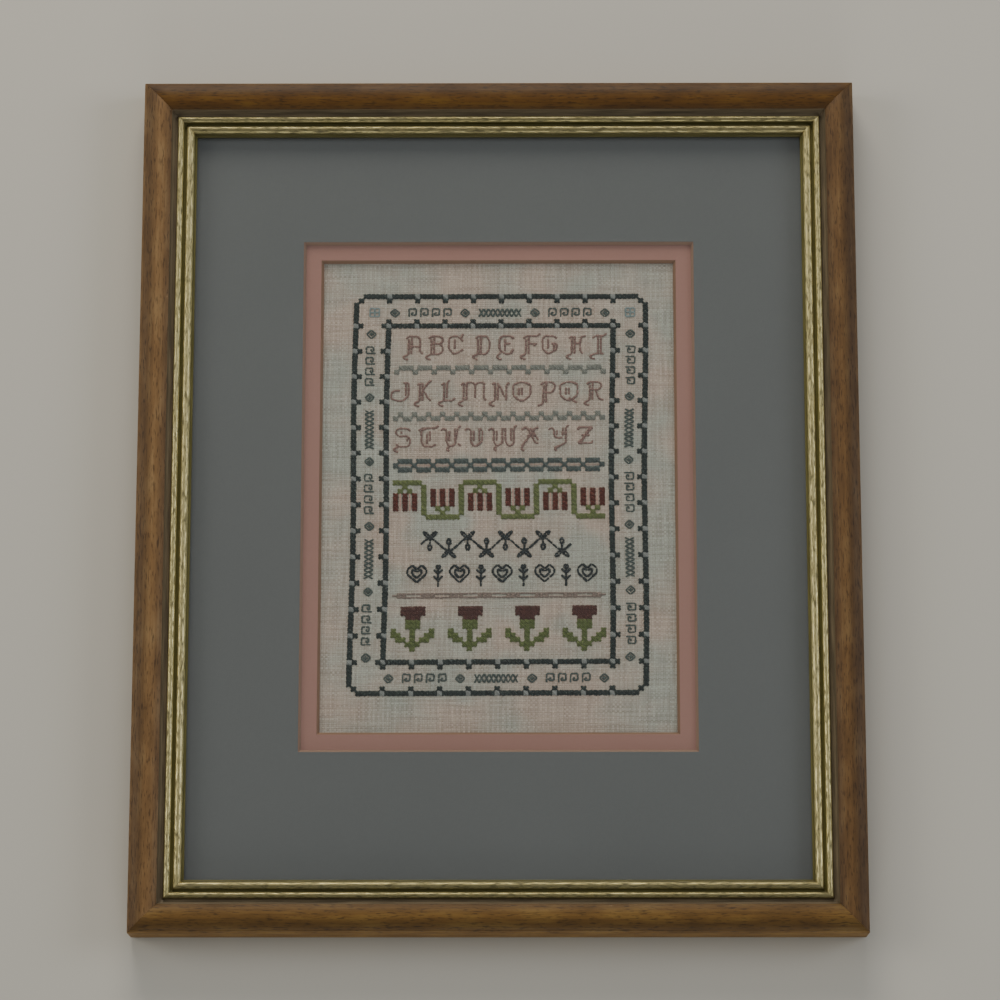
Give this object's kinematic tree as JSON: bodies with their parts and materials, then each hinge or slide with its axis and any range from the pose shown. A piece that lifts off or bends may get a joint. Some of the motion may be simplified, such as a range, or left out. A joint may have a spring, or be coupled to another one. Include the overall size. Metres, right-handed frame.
{
  "type": "framed cross stitch sampler with its picture frame",
  "caption": "Flat linen stitched with an alphabet and traditional bands, behind two window mats and glass in a mitred wooden picture frame.",
  "frame": {"origin": "middle of the frame's back, on the surface that the sampler lies on, face up", "axes": "+X to the picture's right, +Y to the picture's top, +Z out of its face"},
  "size_m": [0.278, 0.334, 0.018],
  "materials": {
    "moulding": "walnut stain and satin lacquer, with two rubbed gilt beads along the sight edge",
    "glazing": "clear polished picture glass",
    "outer_mat": "matt slate grey paper face with a buff bevel",
    "inner_mat": "matt dusty pink paper face with a buff bevel",
    "linen": "natural evenweave linen, unglazed, cross stitched in stranded cotton",
    "backing": "plain brown pressed board"
  },
  "bodies": {
    "root": {"rail_top": "moulding", "rail_bottom": "moulding", "rail_left": "moulding", "rail_right": "moulding", "glazing": "glazing", "mat_outer": "outer_mat", "mat_inner": "inner_mat", "linen": "linen", "backing_board": "backing"}
  },
  "joints": []
}
